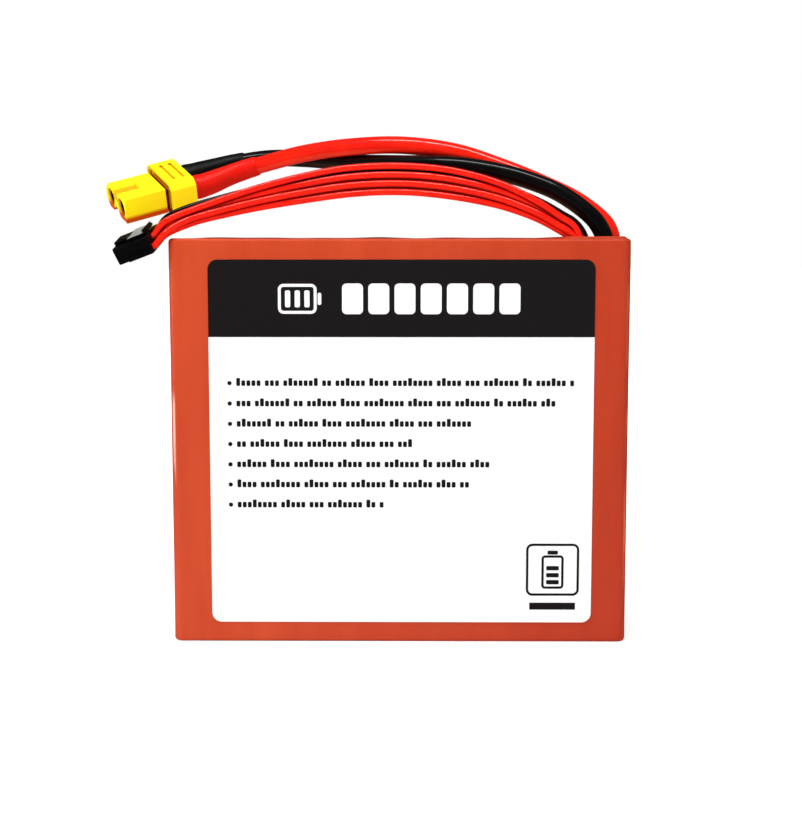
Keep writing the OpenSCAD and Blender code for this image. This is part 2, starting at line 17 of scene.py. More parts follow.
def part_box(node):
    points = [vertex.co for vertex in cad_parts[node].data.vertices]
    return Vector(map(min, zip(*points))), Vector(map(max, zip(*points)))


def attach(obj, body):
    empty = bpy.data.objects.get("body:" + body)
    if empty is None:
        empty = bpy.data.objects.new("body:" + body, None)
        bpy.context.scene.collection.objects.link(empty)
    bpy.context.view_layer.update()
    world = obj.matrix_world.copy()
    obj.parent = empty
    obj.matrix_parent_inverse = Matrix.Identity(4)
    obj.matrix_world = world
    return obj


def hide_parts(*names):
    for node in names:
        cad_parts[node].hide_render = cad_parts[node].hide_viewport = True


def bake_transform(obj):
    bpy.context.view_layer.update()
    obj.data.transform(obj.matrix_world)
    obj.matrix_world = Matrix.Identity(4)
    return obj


MM = 0.001
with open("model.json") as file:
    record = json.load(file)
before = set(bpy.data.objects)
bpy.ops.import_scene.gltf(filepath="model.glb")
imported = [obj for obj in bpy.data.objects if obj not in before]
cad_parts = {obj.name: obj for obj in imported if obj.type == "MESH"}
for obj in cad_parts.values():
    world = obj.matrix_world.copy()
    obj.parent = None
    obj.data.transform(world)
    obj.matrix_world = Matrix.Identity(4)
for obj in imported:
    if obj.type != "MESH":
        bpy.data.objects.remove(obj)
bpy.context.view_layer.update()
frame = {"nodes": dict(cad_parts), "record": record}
nodes = frame["nodes"]
record = frame["record"]


def mount(name):
    return next(m for m in record["mounts"] if m["name"] == name)


# ---- Colours and materials ----------------------------------------------


def srgb(red, green, blue):
    """A linear colour from the usual 0 to 255 values."""
    shares = [v / 255 for v in (red, green, blue)]
    return [s / 12.92 if s < 0.04045 else ((s + 0.055) / 1.055) ** 2.4 for s in shares] + [1.0]


class Finish:
    """Builds one procedural material round a Principled surface."""

    def __init__(self, name):
        self.material = bpy.data.materials.new(name)
        self.material.use_nodes = True
        self.tree = self.material.node_tree
        self.surface = self.tree.nodes["Principled BSDF"]
        self.place = self.add("ShaderNodeTexCoord").outputs["Object"]
        self.normal = None

    def add(self, kind, inputs=None, **settings):
        node = self.tree.nodes.new(kind)
        for key, value in settings.items():
            setattr(node, key, value)
        for key, value in (inputs or {}).items():
            self.feed(node.inputs[key], value)
        return node

    def feed(self, socket, value):
        if isinstance(value, bpy.types.NodeSocket):
            self.tree.links.new(value, socket)
        else:
            socket.default_value = value

    def set(self, **inputs):
        """Surface inputs by name, with _ for a space: set(Base_Color=..., Roughness=...)."""
        for key, value in inputs.items():
            self.feed(self.surface.inputs[key.replace("_", " ")], value)
        return self

    def maths(self, operation, a, b=0.0):
        return self.add("ShaderNodeMath", {0: a, 1: b}, operation=operation).outputs[0]

    def remap(self, value, low, high, to_low, to_high):
        """value, moved so that low to high becomes to_low to to_high, and held there beyond."""
        ends = {"From Min": low, "From Max": high, "To Min": to_low, "To Max": to_high}
        return self.add("ShaderNodeMapRange", {"Value": value, **ends}).outputs[0]

    def mix(self, share, first, second):
        """A colour from first at share 0 to second at share 1."""
        inputs = {0: share, 6: first, 7: second}
        return self.add("ShaderNodeMix", inputs, data_type="RGBA").outputs[2]

    def product(self, first, *others):
        """Several values multiplied."""
        for value in others:
            first = self.maths("MULTIPLY", first, value)
        return first

    def left_over(self, share):
        """What a share leaves of 1."""
        return self.maths("SUBTRACT", 1.0, share)

    def noise(self, size, detail=3.0, stretch=(1, 1, 1), rough=0.5):
        """Noise whose features are about size metres across."""
        vector = self.add("ShaderNodeMapping", {"Vector": self.place, "Scale": stretch}).outputs[0]
        inputs = {"Vector": vector, "Scale": 1 / size, "Detail": detail, "Roughness": rough}
        return self.add("ShaderNodeTexNoise", inputs).outputs["Fac"]

    def axis(self, name):
        """One coordinate of the point, in the frame."""
        return self.add("ShaderNodeSeparateXYZ", {0: self.place}).outputs[name]

    def facing(self, name):
        """One coordinate of the surface normal."""
        normal = self.add("ShaderNodeNewGeometry").outputs["Normal"]
        return self.add("ShaderNodeSeparateXYZ", {0: normal}).outputs[name]

    def along(self, origin, direction):
        """How far the point is from origin along a direction, in metres."""
        inputs = {0: self.place, 1: tuple(origin)}
        offset = self.add("ShaderNodeVectorMath", inputs, operation="SUBTRACT")
        inputs = {0: offset.outputs[0], 1: tuple(direction)}
        return self.add("ShaderNodeVectorMath", inputs, operation="DOT_PRODUCT").outputs["Value"]

    def recess(self, reach, closed=0.25, clear=0.75):
        """1 deep in a groove or hole and 0 in the open, looking reach metres around. closed and
        clear are how much of the way round the point is open at either end."""
        share = self.add("ShaderNodeAmbientOcclusion", {"Distance": reach}, samples=8).outputs["AO"]
        return self.remap(share, closed, clear, 1, 0)

    def bump(self, height, depth, strength=1.0):
        inputs = {"Height": height, "Distance": depth, "Strength": strength}
        if self.normal is not None:
            inputs["Normal"] = self.normal
        self.normal = self.add("ShaderNodeBump", inputs).outputs[0]
        return self.set(Normal=self.normal)


def plain(name, colour, other, roughness, size, metallic=0.0, depth=0.02 * MM):
    """A finish that wanders between two colours, with a fine grain of the given size."""
    f = Finish(name)
    cloud = f.noise(size * 6)
    grain = f.noise(size, 4)
    f.set(Base_Color=f.mix(cloud, colour, other), Metallic=metallic)
    f.set(Roughness=f.remap(cloud, 0.3, 0.7, roughness - 0.06, roughness + 0.08))
    f.bump(grain, depth)
    return f.material


def sleeve_finish():
    """Shrink film: streaky colour, painted shading from left to right, soft sheen, creases drawn in
    towards the top and bottom, painted highlights on two corners and painted dark shade at the
    outline."""
    f = Finish("sleeve_film")
    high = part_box("shrink_sleeve")[1]
    half, height = high.x, high.z
    streaks = f.remap(f.noise(4 * MM, 3, (1, 1, 0.1)), 0.3, 0.7, 0, 1)
    clouds = f.noise(45 * MM, 2)
    # Painted shading: lighter on the left, darker towards the right and lower down, as if lit from
    # the left.
    left = f.mix(streaks, srgb(203, 70, 35), srgb(210, 77, 40))
    right = f.mix(streaks, srgb(180, 52, 25), srgb(189, 57, 29))
    across = f.maths("SUBTRACT", f.axis("X"), f.maths("MULTIPLY", f.axis("Z"), 0.3))
    base = f.mix(f.remap(across, -half * 0.6, half * 0.95, 0, 1), left, right)
    base = f.mix(f.remap(clouds, 0.35, 0.65, 0, 0.35), base, srgb(193, 60, 31))
    sideways = f.facing("X")
    # Painted highlights on two vertical corners: a pale pink streak down the left one and a thin
    # orange one on the right, broken up by streaks.
    wear_and_highlight_mask = f.remap(f.noise(2.4 * MM, 4, (1, 1, 0.12)), 0.42, 0.62, 0, 1)
    painted_corner_highlights = ((-0.62, 0.3, 0.63, srgb(255, 196, 176)), (0.72, 0.08, 0.9, srgb(238, 108, 70)))
    for turn, bottom, top, colour in painted_corner_highlights:
        arris = f.remap(f.maths("ABSOLUTE", f.maths("SUBTRACT", sideways, turn)), 0.05, 0.2, 1, 0)
        middle, length = height * (bottom + top) / 2, height * (top - bottom)
        span = f.maths("ABSOLUTE", f.maths("SUBTRACT", f.axis("Z"), middle))
        within = f.remap(span, length * 0.4, length * 0.5, 1, 0)
        base = f.mix(f.product(arris, within, wear_and_highlight_mask), base, colour)
    # Painted shade: dark brown where the film turns away from view, round the outline.
    outline_shade = f.remap(f.add("ShaderNodeLayerWeight").outputs["Facing"], 0.8, 0.97, 0, 0.8)
    f.set(Base_Color=f.mix(outline_shade, base, srgb(96, 30, 18)))
    f.set(Roughness=f.remap(f.noise(9 * MM, 3), 0.3, 0.7, 0.28, 0.42))
    f.set(Coat_Weight=0.15, Coat_Roughness=0.2, Specular_IOR_Level=0.2)
    f.bump(f.noise(11 * MM, 2), 0.35 * MM, 0.35)
    off_middle = f.maths("ABSOLUTE", f.maths("SUBTRACT", f.axis("Z"), height / 2))
    near_edge = f.remap(off_middle, height * 0.4, height * 0.5, 0, 1)
    creases = f.noise(2.2 * MM, 3, (1, 1, 0.1), 0.6)
    f.bump(f.product(creases, near_edge), 0.25 * MM, 0.5)
    f.bump(f.noise(0.7 * MM, 2), 0.01 * MM, 0.5)
    return f.material


def label_finish():
    f = Finish("label_film")
    cloud = f.noise(30 * MM, 2)
    f.set(Base_Color=f.mix(cloud, srgb(249, 249, 250), srgb(253, 253, 252)))
    f.set(Roughness=f.remap(f.noise(4 * MM, 3), 0.3, 0.7, 0.34, 0.44))
    f.bump(f.noise(0.5 * MM, 2), 0.004 * MM)
    return f.material


def ink_finish(name, colour):
    f = Finish(name)
    speckle = f.noise(0.3 * MM, 2)
    lighter = [min(1, c * 1.12 + 0.001) for c in colour[:3]] + [1.0]
    f.set(Base_Color=f.mix(speckle, colour, lighter))
    f.set(Roughness=f.remap(f.noise(3 * MM, 3), 0.3, 0.7, 0.45, 0.55), Specular_IOR_Level=0.1)
    f.bump(speckle, 0.003 * MM)
    return f.material


def silicone_finish(name, colour, deep, glow, gloss):
    """Soft wire insulation with a thin gloss and faint handling marks, painted shade where wires
    lie close together, and a painted glow that lifts a bright colour a little."""
    f = Finish(name)
    clouds = f.noise(7 * MM, 3)
    # Painted shade: the insulation goes darker where wires lie close together.
    close = f.product(f.recess(1.6 * MM), 0.85)
    shadow = [c * 0.22 for c in deep[:3]] + [1.0]
    even = f.mix(f.remap(clouds, 0.35, 0.65, 0, 1), colour, deep)
    f.set(Base_Color=f.mix(close, even, shadow), Specular_IOR_Level=0.1)
    f.set(Roughness=f.remap(f.noise(2.5 * MM, 3), 0.3, 0.7, 0.3, 0.4))
    f.set(Coat_Weight=gloss, Coat_Roughness=0.1)
    # Painted glow: the insulation gives off its own colour as light, less in the painted shade.
    f.set(Emission_Color=colour)
    f.set(Emission_Strength=f.product(f.left_over(close), glow))
    f.bump(f.noise(1.6 * MM, 2), 0.012 * MM, 0.4)
    return f.material


def shrink_finish(name, colour, deep, roughness):
    """Shrink tube: drawn lengthwise lines and a slightly uneven grip on the wire."""
    f = Finish(name)
    uv = f.add("ShaderNodeUVMap", uv_map="along").outputs[0]
    lines = f.add("ShaderNodeTexNoise", {
        "Vector": f.add("ShaderNodeMapping", {"Vector": uv, "Scale": (0.25, 14, 1)}).outputs[0],
        "Scale": 1.0, "Detail": 3.0}).outputs["Fac"]
    f.set(Base_Color=f.mix(f.noise(3 * MM, 3), colour, deep), Specular_IOR_Level=0.18)
    f.set(Roughness=f.remap(lines, 0.3, 0.7, roughness - 0.05, roughness + 0.1))
    f.bump(lines, 0.05 * MM, 0.7)
    f.bump(f.noise(1.4 * MM, 3), 0.04 * MM, 0.5)
    return f


def printed_shrink_finish(name, colour, deep, roughness, mark):
    """Shrink tube with one worn row of plain dashes along it."""
    f = shrink_finish(name, colour, deep, roughness)
    uv = f.add("ShaderNodeSeparateXYZ", {0: f.add("ShaderNodeUVMap", uv_map="along").outputs[0]})
    dashes_per_mm, inked, row_turn, row_half = 0.62, 0.55, 0.115, 0.028
    dash = f.maths("LESS_THAN", f.maths("FRACT", f.product(uv.outputs["X"], dashes_per_mm)), inked)
    off_row = f.maths("ABSOLUTE", f.maths("SUBTRACT", uv.outputs["Y"], row_turn))
    row = f.maths("LESS_THAN", off_row, row_half)
    wear_and_highlight_mask = f.remap(f.noise(0.5 * MM, 4), 0.45, 0.55, 0, 0.5)
    base = f.surface.inputs["Base Color"].links[0].from_socket
    f.set(Base_Color=f.mix(f.product(dash, row, wear_and_highlight_mask), base, mark))
    return f


# How far behind the power plug's mouth these are: the middle of its sockets, the end of the notch
# in its nose, the gap between nose and cap, and the cap's front.
SOCKET_MIDDLE, NOTCH_END, NECK, CAP_FRONT = 6 * MM, 6.4 * MM, 12 * MM, 12.3 * MM


def yellow_nylon():
    """Moulded nylon with a painted clear yellow glow, painted orange shade in its grooves and along
    its lowest edges, and a painted dark red shadow in the gap between nose and cap."""
    f = Finish("yellow_nylon")
    sockets = [mount(f"plug_socket_{side}") for side in ("positive", "negative")]
    positive, negative = (Vector(socket["pos_m"]) for socket in sockets)
    out = Vector(sockets[0]["axis"])
    middle, up = (positive + negative) / 2, out.cross(positive - negative).normalized()
    depth = f.maths("ADD", f.along(middle, -out), SOCKET_MIDDLE)
    cap_stands_out = f.remap(depth, CAP_FRONT - 0.1 * MM, CAP_FRONT + 0.1 * MM, 0, 1.3 * MM)
    height = f.maths("ADD", f.along(middle, up), cap_stands_out)
    bright = f.mix(f.noise(3 * MM, 3), srgb(255, 243, 30), srgb(255, 234, 18))
    # Painted shade: deeper orange on the lowest faces, by height below the sockets' middle.
    under = f.remap(height, -1.3 * MM, -2.3 * MM, 0, 0.95)
    # Painted shadow: dark red in the gap between nose and cap.
    off_neck = f.maths("ABSOLUTE", f.maths("SUBTRACT", depth, NECK))
    neck_shadow = f.remap(off_neck, 0.42 * MM, 0.56 * MM, 1, 0)
    aside = f.maths("ABSOLUTE", f.along(middle, (positive - negative).normalized()))
    # Painted shade on the end wall of the notch in the nose.
    notch_shade = f.product(
        f.remap(aside, 1.55 * MM, 1.75 * MM, 0.6, 0),
        f.remap(height, 3.1 * MM, 3.3 * MM, 1, 0),
        f.remap(depth, NOTCH_END - 0.2 * MM, NOTCH_END + 0.2 * MM, 1, 0),
        f.remap(height, 0, 1 * MM, 0, 1))
    # Painted shade: orange in grooves and holes, where little is open round the point, and in the
    # notch.
    hollow_shade = f.maths("MAXIMUM", f.recess(2 * MM, 0.35, 0.85), notch_shade)
    shaded = f.mix(hollow_shade, f.mix(under, bright, srgb(226, 60, 10)), srgb(206, 84, 6))
    f.set(Base_Color=f.mix(neck_shadow, shaded, srgb(118, 10, 3)))
    dark = f.maths("MAXIMUM", hollow_shade, neck_shadow)
    # Painted glow: the nylon gives off clear yellow as light, except in the painted shade.
    glow = f.product(f.left_over(dark), f.left_over(under), 0.32)
    f.set(Emission_Color=srgb(255, 236, 20), Emission_Strength=glow, Specular_IOR_Level=0.15)
    f.set(Roughness=f.remap(f.noise(1.5 * MM, 3), 0.3, 0.7, 0.28, 0.4))
    f.bump(f.noise(0.45 * MM, 3), 0.012 * MM)
    return f.material


def moulded(name, colour, other, roughness):
    """Fine-grained moulded plastic with polished high spots."""
    f = Finish(name)
    wear = f.noise(1.8 * MM, 4)
    f.set(Base_Color=f.mix(wear, colour, other), Specular_IOR_Level=0.08)
    f.set(Roughness=f.remap(wear, 0.35, 0.65, roughness - 0.08, roughness + 0.1))
    f.bump(f.noise(0.25 * MM, 3), 0.012 * MM)
    return f.material


def latch_nylon():
    """Black moulded nylon with a paler, ribbed pad on top, for the thumb."""
    f = Finish("latch_nylon")
    mouth = mount("balance_plug_mouth")
    back = f.along(mouth["pos_m"], mouth["axis"])
    wear = f.noise(1.8 * MM, 4)
    pad = f.product(
        f.remap(back, -4.3 * MM, -4.5 * MM, 0, 1),
        f.remap(back, -8.8 * MM, -8.6 * MM, 0, 1),
        f.remap(f.facing("Z"), 0.3, 0.7, 0, 1))
    black = f.mix(wear, srgb(5, 5, 5), srgb(13, 13, 13))
    f.set(Base_Color=f.mix(pad, black, srgb(150, 153, 152)), Specular_IOR_Level=0.08)
    f.set(Roughness=f.remap(wear, 0.35, 0.65, 0.36, 0.5))
    rib_pitch = 0.75 * MM
    ribs = f.maths("SINE", f.product(back, 2 * math.pi / rib_pitch))
    f.bump(f.product(ribs, pad), 0.05 * MM)
    f.bump(f.noise(0.25 * MM, 3), 0.012 * MM)
    return f.material


def stranded():
    """Tinned strands laid in a shallow twist."""
    f = Finish("tinned_strands")
    bands_per_metre = 900
    inputs = {"Vector": f.place, "Scale": bands_per_metre, "Distortion": 1.5}
    twist = f.add("ShaderNodeTexWave", inputs).outputs[1]
    f.set(Base_Color=f.mix(twist, srgb(196, 196, 200), srgb(150, 150, 156)), Metallic=1.0)
    f.set(Roughness=f.remap(twist, 0, 1, 0.25, 0.45))
    f.bump(twist, 0.08 * MM)
    return f.material


RED, DEEP_RED = srgb(250, 30, 3), srgb(232, 18, 2)
BLACK, DARK = srgb(4, 4, 4), srgb(9, 9, 9)

FINISHES = {
    "sleeve_pvc": sleeve_finish(),
    "label_film": label_finish(),
    "fibre_board": plain(
        "fibre_board", srgb(203, 180, 138), srgb(188, 164, 122), 0.7, 0.6 * MM, depth=0.05 * MM),
    "insulating_paper": plain(
        "insulating_paper", srgb(150, 168, 164), srgb(134, 152, 150), 0.75, 0.4 * MM),
    "amber_tape": plain("amber_tape", srgb(214, 140, 30), srgb(200, 122, 22), 0.22, 2 * MM),
    "pouch_foil": plain(
        "pouch_foil", srgb(196, 199, 203), srgb(180, 184, 190), 0.34, 1.2 * MM, 0.9, 0.05 * MM),
    "pad_foam": plain(
        "pad_foam", srgb(238, 238, 230), srgb(226, 226, 216), 0.85, 0.3 * MM, depth=0.06 * MM),
    "tab_aluminium": plain(
        "tab_aluminium", srgb(214, 214, 218), srgb(196, 196, 200), 0.3, 0.5 * MM, 1.0),
    "tab_nickel": plain(
        "tab_nickel", srgb(196, 190, 178), srgb(178, 172, 160), 0.28, 0.5 * MM, 1.0),
    "circuit_board": plain("circuit_board", srgb(22, 98, 58), srgb(16, 84, 50), 0.35, 0.5 * MM),
    "copper": plain("copper", srgb(206, 140, 100), srgb(188, 118, 80), 0.3, 0.4 * MM, 1.0),
    "solder": plain(
        "solder", srgb(204, 204, 208), srgb(176, 176, 182), 0.2, 0.8 * MM, 1.0, 0.06 * MM),
    "tinned_strands": stranded(),
    # The red wires get a painted glow of 0.16, the black ones none.
    "red_silicone": silicone_finish("red_silicone", RED, DEEP_RED, 0.16, 1.0),
    "black_silicone": silicone_finish("black_silicone", BLACK, DARK, 0.0, 0.45),
    "red_shrink": shrink_finish("red_shrink", srgb(250, 30, 12), srgb(226, 18, 8), 0.34).material,
    "black_shrink": printed_shrink_finish(
        "black_shrink", BLACK, DARK, 0.42, srgb(150, 150, 150)).material,
    "yellow_nylon": yellow_nylon(),
    "gold_contact": plain(
        "gold_contact", srgb(226, 178, 84), srgb(206, 152, 62), 0.2, 0.6 * MM, 1.0),
    "black_nylon": moulded("black_nylon", srgb(4, 4, 4), srgb(11, 11, 11), 0.42),
    "latch_nylon": latch_nylon(),
    "terminal_bronze": plain(
        "terminal_bronze", srgb(206, 196, 160), srgb(182, 172, 138), 0.25, 0.5 * MM, 1.0),
}


# ---- Meshes -------------------------------------------------------------

SAME_POINT = 0.001 * MM  # points closer than this are one point

def piece(name, mesh, slot, body=None, replaces=(), sharp=35):
    """A finished object: linked, smooth-shaded, painted and, if a body is given, riding on
    body. Edges sharper than sharp degrees stay sharp."""
    obj = bpy.data.objects.new(name, mesh)
    bpy.context.scene.collection.objects.link(obj)
    mesh.shade_smooth()
    mesh.set_sharp_from_angle(angle=math.radians(sharp))
    mesh.materials.clear()
    mesh.materials.append(FINISHES[slot])
    if replaces:
        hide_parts(*replaces)
    if body:
        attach(obj, body)
    return obj


def mesh_of(name, points, faces):
    mesh = bpy.data.meshes.new(name)
    mesh.from_pydata([tuple(p) for p in points], [], faces)
    mesh.validate()
    return mesh


def baked(mesh, *modifiers):
    """The mesh with modifiers applied, each given as (kind, {setting: value})."""
    obj = bpy.data.objects.new("baking", mesh)
    bpy.context.scene.collection.objects.link(obj)
    for kind, settings in modifiers:
        modifier = obj.modifiers.new(kind.lower(), kind)
        for key, value in settings.items():
            setattr(modifier, key, value)
    graph = bpy.context.evaluated_depsgraph_get()
    result = bpy.data.meshes.new_from_object(obj.evaluated_get(graph))
    bpy.data.objects.remove(obj)
    return result


def rounded(node, width):
    """A CAD node's shape with its sharp edges rounded over."""
    return baked(
        nodes[node].data.copy(),
        ("WELD", {"merge_threshold": SAME_POINT}),
        ("DECIMATE", {"decimate_type": "DISSOLVE", "angle_limit": math.radians(1)}),
        ("BEVEL", {"width": width, "segments": 3, "limit_method": "ANGLE",
                   "angle_limit": math.radians(32), "use_clamp_overlap": True}),
    )


def rectangle(centre, size, radius, steps=6):
    """A rounded rectangle's outline, counter-clockwise."""
    points = []
    for n, (sx, sy) in enumerate([(1, 1), (-1, 1), (-1, -1), (1, -1)]):
        x = centre[0] + sx * (size[0] / 2 - radius)
        y = centre[1] + sy * (size[1] / 2 - radius)
        for k in range(steps + 1):
            angle = math.radians(90 * n + 90 * k / steps)
            points.append((x + radius * math.cos(angle), y + radius * math.sin(angle)))
    return points


def plate(name, outlines, thickness, place):
    """A flat plate at matrix place, from closed outlines. An outline inside another is a hole."""
    curve = bpy.data.curves.new(name, "CURVE")
    curve.dimensions = "2D"
    curve.fill_mode = "BOTH"
    curve.extrude = thickness / 2
    for outline in outlines:
        spline = curve.splines.new("POLY")
        spline.points.add(len(outline) - 1)
        spline.points.foreach_set("co", [c for p in outline for c in (p[0], p[1], 0, 1)])
        spline.use_cyclic_u = True
    obj = bpy.data.objects.new(name, curve)
    bpy.context.scene.collection.objects.link(obj)
    mesh = bpy.data.meshes.new_from_object(obj)
    bpy.data.objects.remove(obj)
    mesh.transform(place @ Matrix.Translation((0, 0, thickness / 2)))
    return mesh


# ---- Centre lines and tubes ---------------------------------------------

CAP_ANGLE = 1.0  # radians: a tube's end edges are sharper than this, its side edges aren't


def flood(start, edges):
    """The points joined to start by the given edges."""
    found, front = set(), {start}
    while front:
        found |= front
        front = {v for p in front for e in p.link_edges if e in edges for v in e.verts} - found
    return found


def centre_lines(node):
    """[(middle line, radius)] of each swept tube in a CAD node, from the centres of its rings."""
    bm = bmesh.new()
    bm.from_mesh(nodes[node].data)
    bmesh.ops.remove_doubles(bm, verts=bm.verts, dist=SAME_POINT)
    rims = {e for e in bm.edges if e.calc_face_angle(0) > CAP_ANGLE}
    seen, lines = set(), []
    for edge in sorted(rims, key=lambda e: e.index):
        if edge.verts[0] in seen:
            continue
        ring, line = flood(edge.verts[0], rims), []
        centre = sum((v.co for v in ring), Vector()) / len(ring)
        radius = (edge.verts[0].co - centre).length
        while ring:
            seen |= ring
            line.append(sum((v.co for v in ring), Vector()) / len(ring))
            ring = {v for p in ring for e in p.link_edges for v in e.verts} - seen
        lines.append((line, radius))
    bm.free()
    return lines


def joined(*lines):
    """One line from several that follow each other, each turned the right way round."""
    whole = list(lines[0])
    next_ends = (lines[1][0], lines[1][-1])
    from_first = min((whole[0] - p).length for p in next_ends)
    from_last = min((whole[-1] - p).length for p in next_ends)
    if from_first < from_last:
        whole.reverse()
    for line in lines[1:]:
        near_first = (line[0] - whole[-1]).length < (line[-1] - whole[-1]).length
        whole += line if near_first else line[::-1]
    return whole


def smooth_line(points, spacing):
    """The line through points as a smooth cubic curve, in equal steps of about spacing."""
    p = np.array([tuple(v) for v in points])
    h = np.linalg.norm(np.diff(p, axis=0), axis=1)
    slope = np.diff(p, axis=0) / h[:, None]
    tangent = np.vstack([
        slope[:1],
        (slope[:-1] * h[1:, None] + slope[1:] * h[:-1, None]) / (h[1:] + h[:-1])[:, None],
        slope[-1:]])
    fine = []
    for i, length in enumerate(h):
        for t in np.linspace(0, 1, max(2, math.ceil(length / spacing * 3)), endpoint=False):
            fine.append(
                (1 + 2 * t) * (1 - t) ** 2 * p[i] + t * (1 - t) ** 2 * length * tangent[i]
                + t * t * (3 - 2 * t) * p[i + 1] - t * t * (1 - t) * length * tangent[i + 1])
    fine = np.array(fine + [p[-1]])
    s = np.concatenate([[0], np.cumsum(np.linalg.norm(np.diff(fine, axis=0), axis=1))])
    at = np.linspace(0, s[-1], round(s[-1] / spacing) + 1)
    return np.column_stack([np.interp(at, s, fine[:, k]) for k in range(3)])


def nearest(line, point):
    """Which point of the line is nearest to point."""
    return int(np.argmin(np.linalg.norm(line - np.array(tuple(point)), axis=1)))


def ring_faces(a, b, count):
    """The faces between two rings of count points, whose first points are numbers a and b."""
    return [(a + k, a + (k + 1) % count, b + (k + 1) % count, b + k) for k in range(count)]


def sweep(name, line, radius, sides):
    """A solid round bar along line. radius is a number, or a function of the distance along it in
    metres and of the turn round it from 0 to 1. Its UV map, along, is those two, in millimetres
    and turns."""
    size = radius if callable(radius) else lambda s, turn: radius
    step = np.linalg.norm(np.diff(line, axis=0), axis=1)
    s = np.concatenate([[0], np.cumsum(step)])
    heading = np.gradient(line, axis=0)
    heading /= np.linalg.norm(heading, axis=1)[:, None]
    side = np.cross(heading[0], (0, 1, 0))
    points, faces = [], []
    for i in range(len(line)):
        side = side - heading[i] * (side @ heading[i])
        u = side / np.linalg.norm(side)
        v = np.cross(heading[i], u)
        for k in range(sides):
            a = 2 * math.pi * k / sides
            points.append(line[i] + size(s[i], k / sides) * (math.cos(a) * u + math.sin(a) * v))
    last = (len(line) - 1) * sides
    for a in range(0, last, sides):
        faces += ring_faces(a, a + sides, sides)
    faces.append(tuple(range(sides))[::-1])
    faces.append(tuple(last + k for k in range(sides)))
    mesh = mesh_of(name, points, faces)
    uv = mesh.uv_layers.new(name="along")
    for polygon in mesh.polygons:
        turns = [v % sides / sides for v in polygon.vertices]
        wraps = max(turns) - min(turns) > 0.5
        for corner, vertex, turn in zip(polygon.loop_indices, polygon.vertices, turns):
            turn += 1 if wraps and turn < 0.5 else 0
            uv.data[corner].uv = (s[vertex // sides] / MM, turn)
    return mesh


# ---- Sleeve -------------------------------------------------------------


def smooth_step(x, low, high):
    """0 below low and 1 above high, with a smooth rise between."""
    t = min(1.0, max(0.0, (x - low) / (high - low)))
    return t * t * (3 - 2 * t)


def ripple(point, size):
    """Smooth noise from -1 to 1, whose waves are about size metres long."""
    return noise.noise(Vector(point) / size)


def loop(half_x, half_y, radius, turn, along):
    """A rounded rectangle's points and outward normals, the same number whatever its size.
    turn is the steps in each corner, and along the steps on each side, from the right side on."""
    arcs = []
    for n, (sx, sy) in enumerate([(1, -1), (1, 1), (-1, 1), (-1, -1)]):
        arc = []
        for k in range(turn + 1):
            angle = math.radians(90 * (n - 1) + 90 * k / turn)
            normal = Vector((math.cos(angle), math.sin(angle), 0))
            middle = Vector((sx * (half_x - radius), sy * (half_y - radius), 0))
            arc.append((middle + radius * normal, normal))
        arcs.append(arc)
    found = []
    for n, arc in enumerate(arcs):
        found += arc
        start, stop, normal = arc[-1][0], arcs[(n + 1) % 4][0][0], arc[-1][1]
        found += [(start.lerp(stop, k / along[n]), normal) for k in range(1, along[n])]
    return found


